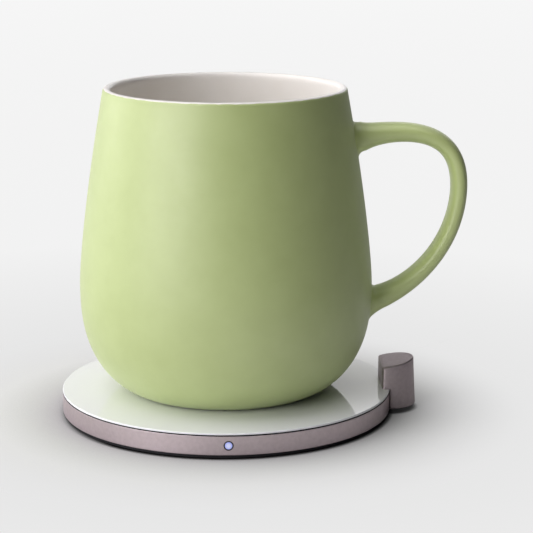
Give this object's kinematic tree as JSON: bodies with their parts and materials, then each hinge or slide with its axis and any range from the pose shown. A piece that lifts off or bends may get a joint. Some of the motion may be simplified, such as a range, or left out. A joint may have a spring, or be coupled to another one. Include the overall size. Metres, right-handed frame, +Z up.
{
  "type": "self-heating mug with heating pad",
  "caption": "Bellied ceramic mug with a loop handle, standing on a thin round wireless heating pad with a glass top, a metal rim and a power inlet post.",
  "frame": {"origin": "centre of the pad's underside, on the surface it stands on", "axes": "+Z up; -Y is the front, where the indicator lens is; +X is the side of the power post and of the mug's handle"},
  "size_m": [0.1324, 0.1082, 0.107],
  "materials": {
    "green_glaze": "matt pistachio glaze outside, gloss warm white glaze inside",
    "white_glass": "polished glass, painted white behind",
    "satin_metal": "satin anodised, mauve grey",
    "satin_metal_post": "satin anodised, mauve grey",
    "black_film": "black bonding film",
    "black_silicone": "matt silicone",
    "pale_silicone": "matt silicone",
    "dark_plastic": "fine moulded texture",
    "pale_plastic": "moulded",
    "screw_steel": "plated",
    "socket_steel": "plated, drawn",
    "ferrite": "sintered, matt",
    "copper_winding": "enamelled copper wire",
    "sensor_bead": "glazed bead",
    "circuit_board": "solder mask over glass fibre",
    "chip_resin": "moulded resin",
    "capacitor_ceramic": "sintered",
    "led_resin": "diffusing resin",
    "clear_lens": "clear lens, lit bluish white",
    "lead_sleeve": "wire insulation",
    "insulation_foam": "felted insulation",
    "heater_foil": "etched foil in film"
  },
  "bodies": {
    "pad": {"anti_slip_pad": "black_silicone", "base_cover": "dark_plastic", "cover_screws": "screw_steel", "rim_band": "satin_metal", "glass_carrier": "pale_plastic", "glass_gasket": "black_film", "glass_plate": "white_glass", "coil_carrier": "pale_plastic", "ferrite_disc": "ferrite", "transmitter_coil": "copper_winding", "temperature_sensor": "sensor_bead", "control_board": "circuit_board", "controller_chip": "chip_resin", "driver_chips": "chip_resin", "resonant_capacitors": "capacitor_ceramic", "power_inductor": "ferrite", "indicator_led": "led_resin", "light_pipe": "clear_lens", "lens_sleeve": "dark_plastic", "post_shell": "satin_metal_post", "post_floor": "dark_plastic", "post_screws": "screw_steel", "usb_c_socket": "socket_steel", "socket_board": "circuit_board", "power_leads": "lead_sleeve", "wire_grommet": "black_silicone"},
    "mug": {"mug_body": "green_glaze", "mug_handle": "green_glaze", "foot_ring": "pale_silicone", "base_cap": "pale_plastic", "base_gasket": "pale_silicone", "receiver_coil": "copper_winding", "receiver_ferrite": "ferrite", "receiver_board": "circuit_board", "rectifier_chips": "chip_resin", "insulation_disc": "insulation_foam", "heater_film": "heater_foil", "temperature_probe": "sensor_bead", "thermal_cutoff": "socket_steel"}
  },
  "joints": [
    {"name": "mug_lift", "type": "slide", "parent": "pad", "child": "mug", "axis": [0, 0, 1], "range_m": [0, 0.12]}
  ]
}
